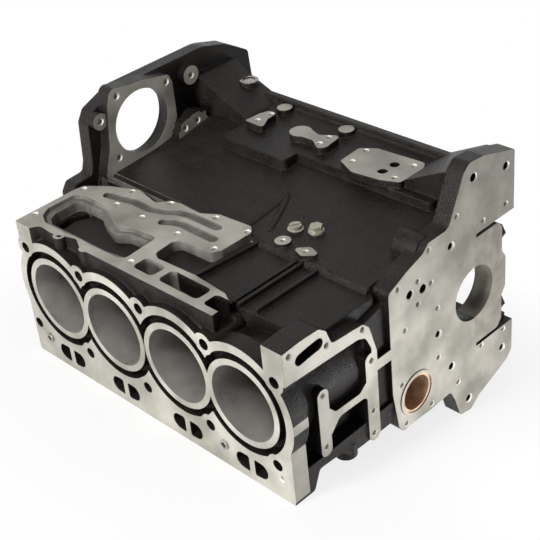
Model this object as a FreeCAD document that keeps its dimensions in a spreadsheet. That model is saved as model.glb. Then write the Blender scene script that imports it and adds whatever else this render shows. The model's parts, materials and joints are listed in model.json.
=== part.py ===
"""Four-cylinder diesel engine block, lying on its camshaft side.

Every sub-part is modelled in engine axes: X runs along the crankshaft towards the front end,
Y runs from the cylinder head deck towards the oil pan, and Z runs across the block towards
the oil cooler side. The origin is where the crankshaft axis meets the front face. A common
Placement leans the finished sub-parts about the crankshaft axis, so that the block rests on
the edge of its deck, the ear of its front plate and the rim of its gear case.

Sizes are millimetres and degrees.
"""
import FreeCAD, Part
import math
import os

SIZES = (
    # cylinders
    ("bore", 101), ("bore_pitch", 113), ("middle_pitch", 119), ("front_bore_setback", 74.5),
    ("deck_height", 334), ("skirt_depth", 81), ("liner_wall", 8.5), ("groove_width", 10),
    ("groove_depth", 20), ("bore_edge_radius", 81), ("barrel_radius", 66),
    # deck
    ("deck_end_margin", 75.5),
    ("deck_length", "=front_bore_setback + 2 * bore_pitch + middle_pitch + deck_end_margin"),
    ("deck_thickness", 24), ("deck_low_side", 115), ("deck_corner_height", 104),
    ("head_bolt_radius", 7.5), ("head_boss_radius", 15), ("head_bolt_high", 59), ("head_bolt_low", 66),
    ("head_bolt_depth", 70), ("low_row_shift", 9), ("end_bolt_reach", 56.5),
    ("pushrod_height", 92), ("pushrod_depth", 60), ("dowel_radius", 6.5), ("dowel_bore", 3.8),
    ("dowel_length", 16), ("dowel_standing", 3),
    # crankcase
    ("plate_thickness", 24), ("crankcase_length", "=deck_length + 15"), ("barrel_low_side", 106), ("rail_half_width", 134),
    ("rail_thickness", 12), ("bay_half_width", 84), ("bay_roof", 118),
    ("skirt_half_width", 97), ("skirt_bay_depth", 116), ("web_thickness", 28),
    ("pad_height", 130), ("platform_height", 120),
    # crankshaft and camshaft line
    ("main_bore", 76), ("cap_half_width", 80), ("cap_seat_height", 57), ("cap_crown", 65),
    ("cap_clearance", 0.2), ("cap_bolt_radius", 7), ("cap_bolt_spread", 54), ("cap_bolt_clearance", 0.5),
    ("cap_thread_depth", 50), ("bolt_head_height", 11), ("bolt_head_across", 21),
    ("cam_depth", 217), ("cam_offset", 84), ("cam_bush_bore", 47),
    ("cam_journal_bore", 45), ("cam_bush_wall", 3.5), ("cam_ring_width", 4), ("cam_ring_standing", 1.5), ("seal_slot_width", 5), ("rear_seal_radius", 55),
    # oil cooler face
    ("cooler_height", 96), ("cooler_thickness", 38), ("cooler_pocket_depth", 20), ("jacket_slot_depth", 34),
    ("window_depth", 26), ("channel_width", 14), ("channel_depth", 6), ("jacket_wall_height", 82),
    # front face
    ("slot_flange_thickness", 32), ("frame_thickness", 24), ("front_wall_setback", 24),
    # gear case at the rear
    ("case_setback", "=deck_length + 8"), ("case_depth", 22), ("case_wall", 7),
    ("drive_face_setback", "=deck_length - 10"), ("drive_bore", 92), ("drive_depth", 227), ("drive_offset", 146),
    ("drive_wall", 13),
    # plugs and ribs on the jacket side
    ("hex_plug_across", 15), ("hex_plug_height", 6), ("plug_flange_radius", 10), ("plug_flange_height", 2.5),
    ("plug_thread_radius", 6), ("plug_thread_length", 12), ("slotted_plug_radius", 8),
    ("slotted_plug_height", 5), ("plug_slot_width", 2.4), ("plug_slot_depth", 2.5), ("plug_boss_height", 95),
    ("plug_boss_radius", 10.5), ("spot_radius", 11), ("rib_height", 88),
    ("core_plug_radius", 9.5), ("core_plug_thickness", 6), ("core_plug_recess", 1.5),
    ("core_plug_height", 149),
    # stance
    ("lean", 11.6),
)

Vector = FreeCAD.Vector
Rotation = FreeCAD.Rotation
Placement = FreeCAD.Placement

document = FreeCAD.newDocument("EngineBlock")
sheet = document.addObject("Spreadsheet::Sheet", "Sizes")
for row, (alias, value) in enumerate(SIZES, start=1):
    sheet.set(f"A{row}", alias)
    sheet.set(f"B{row}", str(value))
    sheet.setAlias(f"B{row}", alias)
document.recompute()
size = {alias: float(sheet.get(alias)) for alias, value in SIZES}

nodes = []


# --- places that several sub-parts share ---------------------------------------------------------

def below_deck(depth):
    """Y of a point at a depth under the head deck."""
    return depth - size["deck_height"]


def rest_line(depth):
    """Z of the surface that the block lies on, under a point at a depth under the head deck."""
    return -size["deck_low_side"] - math.tan(math.radians(size["lean"])) * depth


cylinder_x = [-size["front_bore_setback"]]
for step in ("bore_pitch", "middle_pitch", "bore_pitch"):
    cylinder_x.append(cylinder_x[-1] - size[step])
between_x = [(one + other) / 2 for one, other in zip(cylinder_x, cylinder_x[1:])]
bolt_x = [cylinder_x[0] + size["end_bolt_reach"], *between_x, cylinder_x[-1] - size["end_bolt_reach"]]
web_x = [-size["web_thickness"] / 2, *between_x, cylinder_x[-1] - size["end_bolt_reach"] - 4]
bore_radius = size["bore"] / 2
liner_radius = bore_radius + size["liner_wall"]
groove_radius = liner_radius + size["groove_width"]
main_radius = size["main_bore"] / 2
cam_y = below_deck(size["cam_depth"])
cam_hole_radius = size["cam_bush_bore"] / 2 + size["cam_bush_wall"]
drive_y = below_deck(size["drive_depth"])
drive_radius = size["drive_bore"] / 2
plug_places = {"slotted_plug": (-177, 206), "hex_plug": (-151, 216)}
spot_places = ((-372, 392), (-256, 392))
core_plug_place = (-449, 400)
dowel_places = [(cylinder_x[3] - 42, -81), (cylinder_x[0] - 42, -83)]


# --- outlines ------------------------------------------------------------------------------------

def outline(corners):
    """Closed outline through (u, v, radius) corners, its sides joined by tangent arcs."""
    points = [Vector(corner[0], corner[1], 0) for corner in corners]
    rounds = []
    for index, corner in enumerate(corners):
        here = points[index]
        back = points[index - 1] - here
        ahead = points[(index + 1) % len(points)] - here
        half_angle = back.getAngle(ahead) / 2
        room = 0.48 * min(back.Length, ahead.Length)
        reach = min(corner[2] / math.tan(half_angle), room)
        radius = reach * math.tan(half_angle)
        if radius < 0.05 or half_angle > math.radians(89.5):
            rounds.append((here, here, here))
            continue
        inward = (back.normalize() + ahead.normalize()).normalize()
        middle = here + inward * (radius / math.sin(half_angle) - radius)
        rounds.append((here + back * reach, middle, here + ahead * reach))
    shapes = []
    for index, (start, middle, end) in enumerate(rounds):
        if not start.isEqual(end, 1e-6):
            shapes.append(Part.Arc(start, middle, end))
        following = rounds[(index + 1) % len(rounds)][0]
        if not end.isEqual(following, 1e-6):
            shapes.append(Part.LineSegment(end, following))
    return shapes


def circle(u, v, radius):
    """Full circle about (u, v)."""
    return [Part.Circle(Vector(u, v, 0), Vector(0, 0, 1), radius)]


def box(u_low, u_high, v_low, v_high, radius=0):
    """Rectangle with rounded corners."""
    return outline([(u_low, v_low, radius), (u_high, v_low, radius),
                    (u_high, v_high, radius), (u_low, v_high, radius)])


def loops_of(shape):
    """Sketch geometry of every wire of a flat shape."""
    loops = []
    for wire in shape.Wires:
        for edge in wire.Edges:
            start, end = (vertex for vertex in (edge.valueAt(edge.FirstParameter),
                                                edge.valueAt(edge.LastParameter)))
            if isinstance(edge.Curve, Part.Line):
                loops.append(Part.LineSegment(start, end))
            elif start.isEqual(end, 1e-6):
                loops += circle(edge.Curve.Center.x, edge.Curve.Center.y, edge.Curve.Radius)
            else:
                middle = edge.valueAt((edge.FirstParameter + edge.LastParameter) / 2)
                loops.append(Part.Arc(start, middle, end))
    return loops


def slot(points, width):
    """Outline with round ends at half a width on either side of a bent centre line."""
    line = Part.makePolygon([Vector(u, v, 0) for u, v in points])
    return loops_of(line.makeOffset2D(width / 2))


# --- features ------------------------------------------------------------------------------------

NORMAL_SIGN = {"XY_Plane": 1, "XZ_Plane": -1, "YZ_Plane": 1}


def new_body(label):
    """Empty body that leans with the block."""
    body = document.addObject("PartDesign::Body", "Body")
    body.Label = label
    lean_with_block(body, label)
    return body


def lean_with_block(item, label):
    """Label a finished sub-part and turn it about the crankshaft axis by the lean."""
    item.Label = label
    item.Placement = Placement(Vector(), Rotation(Vector(1, 0, 0), size["lean"]))
    item.setExpression(".Placement.Rotation.Angle", "Sizes.lean * 1 deg")
    nodes.append(item)


def sketch(body, name, plane, level, loops):
    """Sketch on one of the body's own planes, moved to a level along the plane's axis."""
    support = next(item for item in body.Origin.OriginFeatures if item.Role == plane)
    drawing = body.newObject("Sketcher::SketchObject", name + "Sketch")
    drawing.AttachmentSupport = [(support, "")]
    drawing.MapMode = "FlatFace"
    sign = "" if NORMAL_SIGN[plane] > 0 else "-"
    drawing.setExpression(".AttachmentOffset.Base.z", f"{sign}({level}) * 1 mm")
    drawing.addGeometry(loops, False)
    return drawing


def extrude(body, kind, name, plane, level, toward, length, loops):
    """Pad or pocket that leaves its level along the plane's axis, toward +1 or -1."""
    feature = body.newObject("PartDesign::" + kind, name)
    feature.Profile = sketch(body, name, plane, level, loops)
    feature.setExpression("Length", f"({length}) * 1 mm")
    along_normal = toward * NORMAL_SIGN[plane] > 0
    feature.Reversed = along_normal if kind == "Pocket" else not along_normal
    feature.Refine = False
    return feature


class Casting:
    """Extruded sketches that are fused and then cut to make one casting."""

    TURNS = {"XY_Plane": Rotation(), "XZ_Plane": Rotation(Vector(1, 0, 0), 90),
             "YZ_Plane": Rotation(Vector(1, 1, 1), 120)}
    AXES = {"XY_Plane": "z", "XZ_Plane": "y", "YZ_Plane": "x"}

    def __init__(self):
        self.added = []
        self.removed = []

    def prism(self, name, plane, level, toward, length, loops):
        """Extrusion that leaves its level along the plane's axis, toward +1 or -1."""
        drawing = document.addObject("Sketcher::SketchObject", name + "Sketch")
        drawing.Placement = Placement(Vector(), self.TURNS[plane])
        drawing.setExpression(f".Placement.Base.{self.AXES[plane]}", f"({level}) * 1 mm")
        drawing.addGeometry(loops, False)
        solid = document.addObject("Part::Extrusion", name)
        solid.Base = drawing
        solid.DirMode = "Normal"
        solid.Solid = True
        solid.setExpression("LengthFwd", f"({length}) * 1 mm")
        solid.Reversed = toward * NORMAL_SIGN[plane] < 0
        return solid

    def add(self, *details):
        """Put material on the casting."""
        self.added.append(self.prism(*details))

    def cut(self, *details):
        """Take material off the casting."""
        self.removed.append(self.prism(*details))

    def cut_between(self, name, plane, level, toward, length, outer, inner):
        """Take away what lies inside the outer outlines and outside the inner ones."""
        ring = document.addObject("Part::Cut", name)
        for side, sets in (("Base", outer), ("Tool", inner)):
            joined = document.addObject("Part::MultiFuse", name + side)
            joined.Shapes = [self.prism(name + side, plane, level, toward, length, loops) for loops in sets]
            setattr(ring, side, joined)
        self.removed.append(ring)

    def finish(self, label):
        """Fuse what was added and take away what was cut."""
        rough = document.addObject("Part::MultiFuse", "RoughCasting")
        rough.Shapes = self.added
        tools = document.addObject("Part::MultiFuse", "Machining")
        tools.Shapes = self.removed
        casting = document.addObject("Part::Cut", "Casting")
        casting.Base = rough
        casting.Tool = tools
        casting.Refine = True
        lean_with_block(casting, label)


# --- the casting ---------------------------------------------------------------------------------

def add_cylinder_section(casting):
    """Deck plate, the siamesed barrels behind it and the low pushrod side."""
    deck = "-Sizes.deck_height"
    rear = -size["deck_length"]
    low = -size["deck_low_side"]
    casting.add("DeckPlate", "XZ_Plane", deck, 1, "Sizes.deck_thickness",
            box(rear, -2, low, 20, 5))
    under = "Sizes.deck_thickness - Sizes.deck_height"
    depth = "Sizes.cam_depth - 40 - Sizes.deck_thickness"
    for name, chosen in (("Odd", cylinder_x[0::2]), ("Even", cylinder_x[1::2])):
        rims = [item for x in chosen for item in circle(x, 0, size["bore_edge_radius"])]
        casting.add("DeckRim" + name, "XZ_Plane", deck, 1, "Sizes.deck_thickness", rims)
        barrels = [item for x in chosen for item in circle(x, 0, size["barrel_radius"])]
        casting.add("Barrel" + name, "XZ_Plane", under, 1, depth, barrels)
    bosses = [item for x in bolt_x for item in circle(x, size["head_bolt_high"], size["head_boss_radius"])]
    casting.add("HeadBoltBosses", "XZ_Plane", deck, 1, "Sizes.deck_thickness + 30", bosses)
    casting.add("BarrelSides", "XZ_Plane", under, 1, depth,
            outline([(rear + 6, -size["barrel_low_side"], 12), (-40, -size["barrel_low_side"], 20),
                     (-34, -62, 10), (cylinder_x[0], -40, 0), (cylinder_x[0], 60, 4), (rear + 6, 60, 6)]))


def add_jacket_wall(casting):
    """Outer wall of the water jacket, with its two sunk panels between ribs."""
    front = -16
    casting.add("JacketWall", "XY_Plane", "Sizes.jacket_wall_height", -1, "32", outline([
        (-275, below_deck(46), 0), (front, below_deck(62), 4), (front, below_deck(166), 4),
        (-92, below_deck(186), 4), (-141, below_deck(168), 4), (-275, below_deck(168), 4)]))
    ribs = []
    for x, start, end in ((-134, 54, 170), (-125, 54, 170), (-100, 58, 190)):
        ribs += box(x - 2.5, x + 2.5, below_deck(start), below_deck(end), 2)
    ribs += outline([(-214, below_deck(62), 0), (-207, below_deck(62), 0), (-199, below_deck(166), 0),
                     (-205, below_deck(166), 0)])
    casting.add("JacketRibs", "XY_Plane", "Sizes.rib_height", -1, "26", ribs)


def add_crankcase(casting):
    """Crankcase skirt with its oil pan rail, which widens towards both ends."""
    front = "-Sizes.plate_thickness"
    length = "Sizes.crankcase_length - Sizes.plate_thickness"
    rail = size["rail_half_width"]
    rail_top = size["skirt_depth"] - size["rail_thickness"]
    profile = outline([
        (below_deck(140), -102, 0), (below_deck(190), -117, 12), (below_deck(245), -117, 20),
        (below_deck(275), -110, 20), (rail_top, 6 - rail, 8), (rail_top, -rail, 2),
        (size["skirt_depth"], -rail, 2), (size["skirt_depth"], rail, 2), (rail_top, rail, 2),
        (rail_top, rail - 8, 6), (below_deck(318), 108, 10), (below_deck(240), 95, 40),
        (below_deck(164), 90, 8), (below_deck(160), 78, 0)])
    casting.add("Crankcase", "YZ_Plane", front, -1, length, profile)
    flare_top = rail + 32
    case = -size["case_setback"]
    flare_depth = 72
    corners = [(-4, flare_top - 4, 0), (-41, flare_top - 4, 20), (-96, rail, 20), (-128, rail - 16, 0),
               (-128, rail - 30, 0), (-4, rail - 30, 0)]
    casting.add("FrontFlare", "XZ_Plane", "Sizes.skirt_depth", -1, str(flare_depth + 14),
            outline(corners))
    corners = [(case - 4, flare_top, 0), (case + 12, flare_top, 10), (case + 50, rail + 12, 20),
               (case + 106, rail - 10, 10), (case + 106, rail - 30, 0), (case - 4, rail - 30, 0)]
    casting.add("RearFlare", "XZ_Plane", "Sizes.skirt_depth", -1, str(flare_depth),
            outline(corners))


def add_platforms(casting):
    """Raised machining pads along the oil cooler side of the crankcase."""
    base = "Sizes.platform_height"
    thick = "22"
    roof = below_deck(400)
    casting.add("RearPlatform", "XY_Plane", base, -1, thick,
            box(-400, -277, below_deck(291), roof, 8))
    casting.add("FrontPlatform", "XY_Plane", base, -1, thick,
            box(-281, -52, below_deck(316), roof, 8))
    pad = "Sizes.pad_height"
    rise = "Sizes.pad_height - Sizes.platform_height + 2"
    casting.add("BracketPad", "XY_Plane", pad, -1, rise, outline([
        (-203, below_deck(321), 6), (-206, below_deck(361), 8), (-185, below_deck(374), 10),
        (-110, below_deck(379), 10), (-104, below_deck(368), 6), (-104, below_deck(322), 6),
        (-130, below_deck(312), 10), (-172, below_deck(307), 10)]))
    casting.add("KeyholeHead", "XY_Plane", pad, -1, rise,
            circle(-303, below_deck(352), 15.5))
    casting.add("KeyholeTail", "XY_Plane", pad, -1, rise, outline([
        (-300, below_deck(340), 8), (-272, below_deck(342), 8), (-250, below_deck(328), 7),
        (-243, below_deck(338), 7), (-248, below_deck(374), 7), (-275, below_deck(358), 8),
        (-300, below_deck(366), 8)]))
    casting.add("RearPad", "XY_Plane", pad, -1, rise, outline([
        (-390, below_deck(331), 3), (-388, below_deck(358), 4), (-382, below_deck(372), 6),
        (-368, below_deck(372), 6), (-366, below_deck(352), 4), (-354, below_deck(330), 4)]))


def add_front_plate(casting):
    """Timing end plate with its raised engine mount ear and its resting ear."""
    ear = [(303, 8), (326, 10)]
    corners = [(173, -60, 20), (173, 86, 8), (206, 100, 14), (236, 109, 14), (247, 119, 6), (284, 119, 12),
               (300, 152, 20), (314, 180, 12), (325, 189, 10), (352, 187, 12), (410, 170, 3)]
    low = [(-74, 2), (-134, 10)]
    points = [(below_deck(depth), z, radius) for depth, z, radius in corners]
    points.append((size["skirt_depth"], 168, 3))
    points += [(size["skirt_depth"], z, radius) for z, radius in low]
    points += [(below_deck(404), -146, 10), (below_deck(345), -168, 12)]
    points += [(below_deck(depth), rest_line(depth), radius) for depth, radius in reversed(ear)]
    points += [(below_deck(293), -146, 12), (below_deck(284), -127, 8), (below_deck(243), -129, 8),
               (below_deck(204), -127, 6), (below_deck(190), -129, 7), (below_deck(182), -118, 6)]
    casting.add("FrontPlate", "YZ_Plane", "0", -1, "Sizes.plate_thickness", outline(points))
    for name, depth, z, radius in (("EarLump", 252, 100, 20), ("DeckLump", 216, 72, 22)):
        casting.add(name, "YZ_Plane", "-10", -1, "36", circle(below_deck(depth), z, radius))
    ring_radius = cam_hole_radius + size["cam_ring_width"]
    casting.add("CamRing", "YZ_Plane", "Sizes.cam_ring_standing", -1, "Sizes.cam_ring_standing + 5",
            circle(cam_y, -size["cam_offset"], ring_radius))


def add_front_frame(casting):
    """Machined frame in front of cylinder one: slotted flange, H bracket and the ledge under it."""
    top = size["deck_corner_height"]
    front_wall = [(size["deck_thickness"], -86, 0), (size["deck_thickness"], 62, 6), (130, 62, 6),
                  (178, 76, 0), (178, -104, 0), (130, -98, 10)]
    casting.add("FrontWall", "YZ_Plane", "-Sizes.front_wall_setback", -1, "52",
            outline([(below_deck(depth), z, radius) for depth, z, radius in front_wall]))
    flange = [(0, 60, 0), (0, top, 0), (29, top + 2, 6), (58, top + 1, 10), (69, 96, 8), (76, 75, 8),
              (128, 71, 8), (138, 61, 8), (149, 22, 14), (149, 4, 3), (137, 4, 3), (140, 30, 12),
              (131, 50, 12), (118, 55, 10)]
    casting.add("SlotFlange", "YZ_Plane", "0", -1, "Sizes.slot_flange_thickness",
            outline([(below_deck(depth), z, radius) for depth, z, radius in flange]))
    ledge = [(0, -76, 0), (176, -74, 0), (176, -104, 0), (120, -104, 8), (94, -103, 8), (82, -91, 8),
             (44, -89, 6), (33, -size["deck_low_side"], 6), (0, -size["deck_low_side"], 0)]
    casting.add("FrontLedge", "YZ_Plane", "-3", -1, "40",
            outline([(below_deck(depth), z, radius) for depth, z, radius in ledge]))
    frame = "Sizes.frame_thickness + 6"
    posts = ((55.5, 9, 13, -66), (138, 10, 14, -96))
    for number, (depth, half, high, low) in enumerate(posts, start=1):
        y = below_deck(depth)
        casting.add(f"BracketPost{number}", "YZ_Plane", "0", -1, frame,
                box(y - half, y + half, low - half, high + half, half - 0.1))
    recess = [(134, -98, 0), (182, -98, 0), (182, 72, 0), (160, 66, 8), (134, 60, 0)]
    casting.add("RecessWall", "YZ_Plane", "-9", -1, "30",
            outline([(below_deck(depth), z, radius) for depth, z, radius in recess]))
    casting.add("FootBoss", "XY_Plane", "-92", -1, "20", circle(-16, below_deck(102), 14))
    bar = [(56, 0, 0), (66, -12, 6), (74, -21, 6), (116, -22, 6), (136, -6, 6), (136, -48, 6),
           (124, -33, 8), (80, -32, 12), (66, -48, 6), (56, -56, 0)]
    casting.add("BracketBar", "YZ_Plane", "0", -1, frame,
            outline([(below_deck(depth), z, radius) for depth, z, radius in bar]))
    casting.add("BracketBridge", "YZ_Plane", "0", -1, frame,
            box(below_deck(140), below_deck(180), -7, 8, 3))


def add_cooler_face(casting):
    """Machined oil cooler face with the rails that run on from it along the deck."""
    top = "Sizes.cooler_height"
    corners = [(-486, 0, 2), (-487, 100, 10), (-484, 113, 6), (-454, 134, 10), (-412, 151, 12),
               (-368, 141, 12), (-356, 157, 8), (-340, 160, 8), (-300, 158, 10), (-278, 171, 10),
               (-224, 175, 8), (-213, 165, 8), (-213, 114, 8), (-220, 101, 8), (-272, 99, 8),
               (-278, 90, 8), (-275, 60, 10), (-264, 54, 8), (-199, 57, 8), (-142, 52, 6),
               (-124, 42, 6), (-122, 12, 2), (-356, 9, 6), (-366, 12, 6), (-383, 21, 10),
               (-420, 10, 8), (-448, 12, 8), (-455, 0, 2)]
    casting.add("CoolerFace", "XY_Plane", top, -1, "Sizes.cooler_thickness",
            outline([(x, below_deck(depth), radius) for x, depth, radius in corners]))


def add_bosses(casting):
    """Bosses for the plugs, the sensor and the brackets of the cooler side."""
    bosses = []
    for x, depth in plug_places.values():
        bosses += circle(x, below_deck(depth), size["plug_boss_radius"])
    casting.add("PlugBosses", "XY_Plane", "Sizes.plug_boss_height", -1, "30", bosses)
    casting.add("SensorBoss", "XY_Plane", "Sizes.plug_boss_height", -1, "30", outline([
        (-148, below_deck(171), 5), (-128, below_deck(163), 8), (-110, below_deck(178), 5),
        (-131, below_deck(186), 8)]))
    casting.add("SpotBoss", "XY_Plane", "Sizes.plug_boss_height", -1, "30",
                circle(-170, below_deck(176), size["plug_boss_radius"]))
    x, depth = core_plug_place
    casting.add("CorePlugBoss", "XY_Plane", "Sizes.core_plug_height", -1, "30",
                circle(x, below_deck(depth), size["core_plug_radius"] + 4))
    spots = []
    for x, depth in spot_places:
        spots += circle(x, below_deck(depth), size["spot_radius"])
    casting.add("RailSpots", "XY_Plane", "Sizes.pad_height", -1, "24", spots)


def add_gear_case(casting):
    """Gear case at the flywheel end, open to the rear, and its auxiliary drive flange."""
    upper = [(103, 30, 0), (103, 78, 10), (112, 91, 8), (141, 93, 6), (146, 108, 12), (150, 165, 10),
             (160, 181, 10), (206, 199, 20), (366, 200, 60), (410, 188, 20), (452, 163, 8)]
    lower = [(455, 120, 20), (455, -120, 30), (440, -160, 30), (395, -185, 30), (345, rest_line(345), 10),
             (240, rest_line(240), 40), (175, -138, 30), (150, -104, 10), (103, -90, 0)]
    rim = [(below_deck(depth), z, radius) for depth, z, radius in upper + lower]
    casting.add("GearCase", "YZ_Plane", "-Sizes.case_setback", -1, "Sizes.case_depth",
            outline(rim))
    casting.add("RearWall", "YZ_Plane", "5 - Sizes.deck_length", -1,
            "Sizes.case_setback + 4 - Sizes.deck_length + 5",
            box(below_deck(60), below_deck(150), -90, 62, 6))
    face = [(151, 84, 8), (166, 128, 12), (174, 190, 6), (182, 211, 10), (212, 205, 16), (236, 203, 16),
            (284, 193, 8), (289, 180, 6), (289, 128, 10), (278, 103, 40), (238, 77, 50), (200, 74, 50)]
    casting.add("DriveFlange", "YZ_Plane", "-Sizes.drive_face_setback", -1,
            "Sizes.case_setback - Sizes.drive_face_setback + 4",
            outline([(below_deck(depth), z, radius) for depth, z, radius in face]))


def add_case_bosses(casting):
    """Bosses on the front wall of the gear case and the lifting lug beside the drive flange."""
    wall = "-Sizes.case_setback"
    bosses = circle(below_deck(163), 169, 12)
    bosses += circle(below_deck(329), 173, 14)
    casting.add("CaseBosses", "YZ_Plane", wall + " + 12", -1, "16", bosses)
    lug = [(308, 70, 0), (312, 92, 8), (326, 102, 10), (350, 104, 12), (366, 96, 8), (372, 76, 0)]
    casting.add("LiftingLug", "YZ_Plane", wall + " + 24", -1, "12",
            outline([(below_deck(depth), z, radius) for depth, z, radius in lug]))
    casting.add("DriveFillet", "YZ_Plane", wall + " + 8", -1, "12", outline([
        (below_deck(depth), z, radius) for depth, z, radius in (
            (146, 60, 0), (152, 92, 12), (200, 84, 40), (246, 88, 50), (292, 120, 20), (304, 84, 0))]))


def cut_cylinders(casting):
    """Bores, open coolant groove, head bolt holes and pushrod openings."""
    deck = "-Sizes.deck_height"
    bores = [item for x in cylinder_x for item in circle(x, 0, bore_radius)]
    casting.cut("Bores", "XZ_Plane", deck, 1, "Sizes.deck_height - Sizes.bay_roof + 6", bores)
    rings, liners = [], []
    for chosen in (cylinder_x[0::2], cylinder_x[1::2]):
        rings.append([item for x in chosen for item in circle(x, 0, groove_radius)])
        liners.append([item for x in chosen for item in circle(x, 0, liner_radius)])
    boss_radius = size["head_boss_radius"]
    high = [item for x in bolt_x for item in circle(x, size["head_bolt_high"], boss_radius - 1)]
    low = [item for x in bolt_x for item in circle(x - size["low_row_shift"], -size["head_bolt_low"], boss_radius)]
    casting.cut_between("CoolantGroove", "XZ_Plane", deck, 1, "Sizes.groove_depth", rings, [*liners, high, low])
    holes = []
    for x in bolt_x:
        holes += circle(x + 1, size["head_bolt_high"], size["head_bolt_radius"])
        holes += circle(x + 1 - size["low_row_shift"], -size["head_bolt_low"], size["head_bolt_radius"])
    casting.cut("HeadBoltHoles", "XZ_Plane", deck, 1, "Sizes.head_bolt_depth", holes)
    openings = []
    middle = size["pushrod_height"]
    for x in cylinder_x:
        for side in (-1, 1):
            inner = x + 3 + side * 4.5
            outer = x + 3 + side * 26.5
            openings += outline([(inner, -middle - 12, 3), (inner, -middle + 12, 3),
                                 (outer, -middle + 11, 11), (outer, -middle - 10, 11)])
    casting.cut("PushrodOpenings", "XZ_Plane", deck, 1, "Sizes.pushrod_depth", openings)
    dowel_holes = [item for x, z in dowel_places for item in circle(x, z, size["dowel_radius"])]
    casting.cut("DowelHoles", "XZ_Plane", deck, 1,
            "Sizes.dowel_length - Sizes.dowel_standing", dowel_holes)


def cut_crankcase(casting):
    """Crank bays between the main webs, the cap register and the crank and cam lines."""
    rail = "Sizes.skirt_depth"
    half_web = size["web_thickness"] / 2
    for name, half_width, depth in (
            ("CrankBays", size["bay_half_width"], "Sizes.skirt_depth + Sizes.bay_roof"),
            ("SkirtBays", size["skirt_half_width"], "Sizes.skirt_bay_depth")):
        bays = []
        for front, rear in zip(web_x, web_x[1:]):
            bays += box(rear + half_web, front - half_web, -half_width, half_width, 16)
        casting.cut(name, "XZ_Plane", rail, -1, depth, bays)
    half_cap = size["cap_half_width"]
    casting.cut("CapRegister", "XZ_Plane", rail, -1, "Sizes.skirt_depth",
            box(web_x[-1] - half_web, 2, -half_cap, half_cap))
    casting.cut("MainBore", "YZ_Plane", "2", -1, "Sizes.case_setback + Sizes.case_depth + 4",
            circle(0, 0, main_radius))
    casting.cut("RearSealBore", "YZ_Plane", "-Sizes.case_setback - Sizes.case_depth - 1", 1,
            "Sizes.case_depth + 10", circle(0, 0, size["rear_seal_radius"]))
    casting.cut("CamBushSeat", "YZ_Plane", "4", -1, "Sizes.web_thickness + 4",
            circle(cam_y, -size["cam_offset"], cam_hole_radius))
    casting.cut("CamBore", "YZ_Plane", "0", -1, "Sizes.case_setback + 5",
            circle(cam_y, -size["cam_offset"], size["cam_journal_bore"] / 2))
    threads = []
    for x in web_x:
        for side in (-1, 1):
            threads += circle(x, side * size["cap_bolt_spread"], size["cap_bolt_radius"])
    casting.cut("CapBoltThreads", "XZ_Plane", "0", -1, "Sizes.cap_thread_depth", threads)


def cut_gear_case(casting):
    """Hollow of the gear case behind its front wall, and the auxiliary drive bore."""
    upper = [(116, 30, 0), (116, 78, 6), (145, 82, 6), (160, 100, 8), (162, 160, 8), (172, 174, 8),
             (208, 188, 14), (364, 189, 50), (405, 177, 20), (441, 156, 6)]
    lower = [(444, 118, 14), (444, -116, 24), (430, -152, 24), (392, -173, 24), (345, rest_line(345) + 12, 8),
             (244, rest_line(244) + 12, 34), (184, -130, 24), (160, -96, 8), (116, -80, 0)]
    hollow = [(below_deck(depth), z, radius) for depth, z, radius in upper + lower]
    casting.cut("GearCaseHollow", "YZ_Plane", "-Sizes.case_setback - Sizes.case_depth", 1,
            "Sizes.case_depth - Sizes.case_wall", outline(hollow))
    casting.cut("DriveHollow", "YZ_Plane", "-Sizes.case_setback - Sizes.case_depth", 1,
            "Sizes.case_depth + Sizes.case_setback - Sizes.drive_face_setback - Sizes.drive_wall",
            circle(drive_y, size["drive_offset"], drive_radius + 6))
    casting.cut("DriveBore", "YZ_Plane", "1 - Sizes.drive_face_setback", -1, "40",
            circle(drive_y, size["drive_offset"], drive_radius))


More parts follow.
